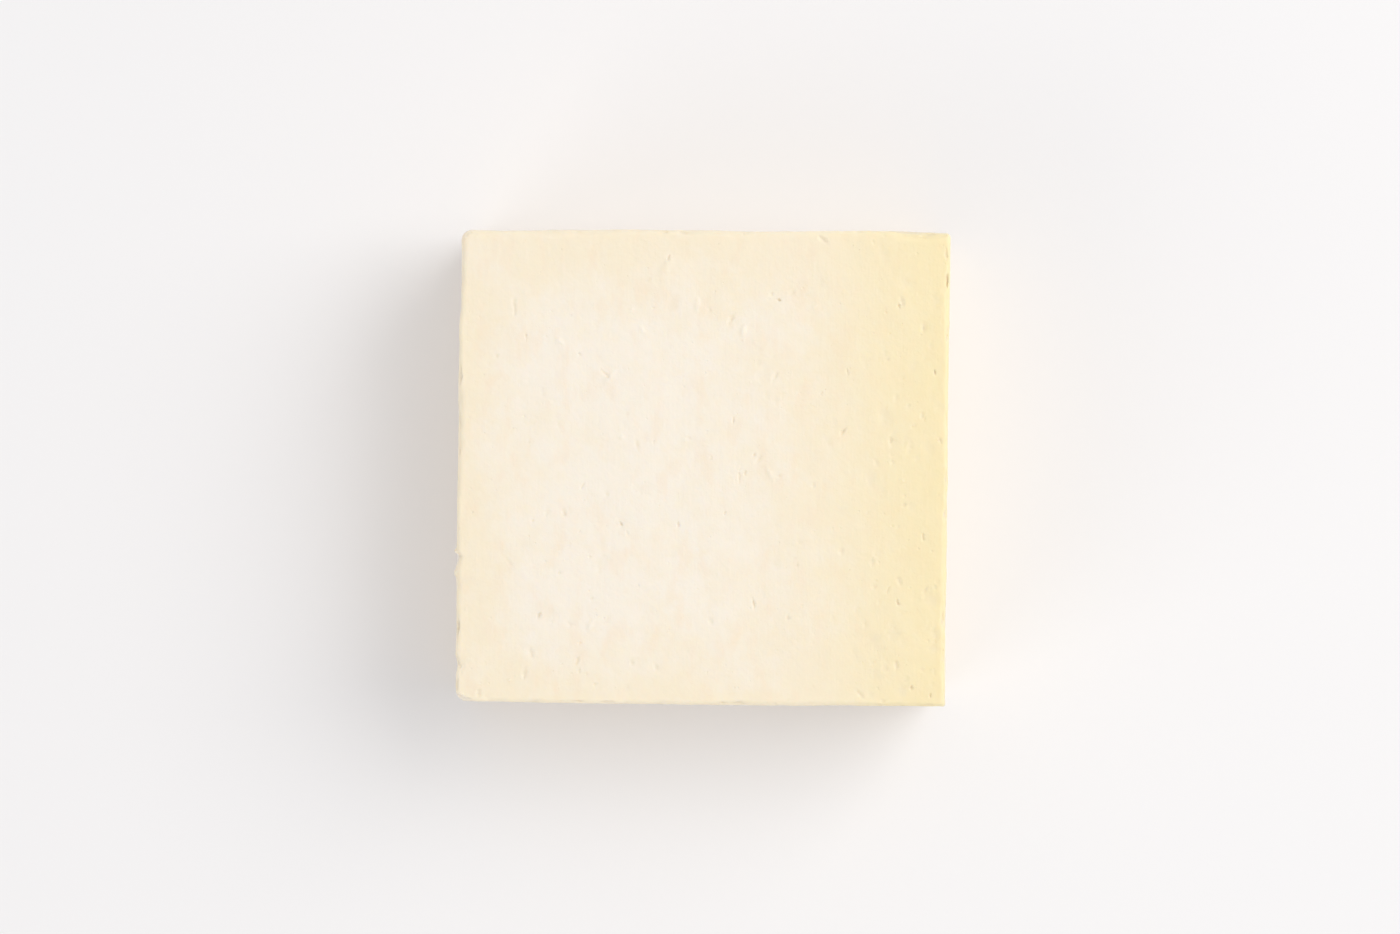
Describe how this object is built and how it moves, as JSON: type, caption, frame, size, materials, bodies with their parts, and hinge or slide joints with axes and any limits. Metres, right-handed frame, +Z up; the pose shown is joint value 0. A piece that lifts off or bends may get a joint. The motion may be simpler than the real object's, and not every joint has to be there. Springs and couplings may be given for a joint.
{
  "type": "tofu block",
  "caption": "Square-cut block of extra-firm tofu with slightly bowed sides, softly worn edges and a broken corner, lying on its widest face.",
  "frame": {"origin": "middle of the face that the block rests on", "axes": "+Z up from the face it rests on, +X along the wider side, +Y along the other side towards the back"},
  "size_m": [0.1052, 0.1018, 0.0401],
  "materials": {
    "tofu_curd": "moist cream-white soybean curd, finely pitted, softly translucent at the edges"
  },
  "bodies": {
    "root": {"tofu_block": "tofu_curd"}
  },
  "joints": []
}
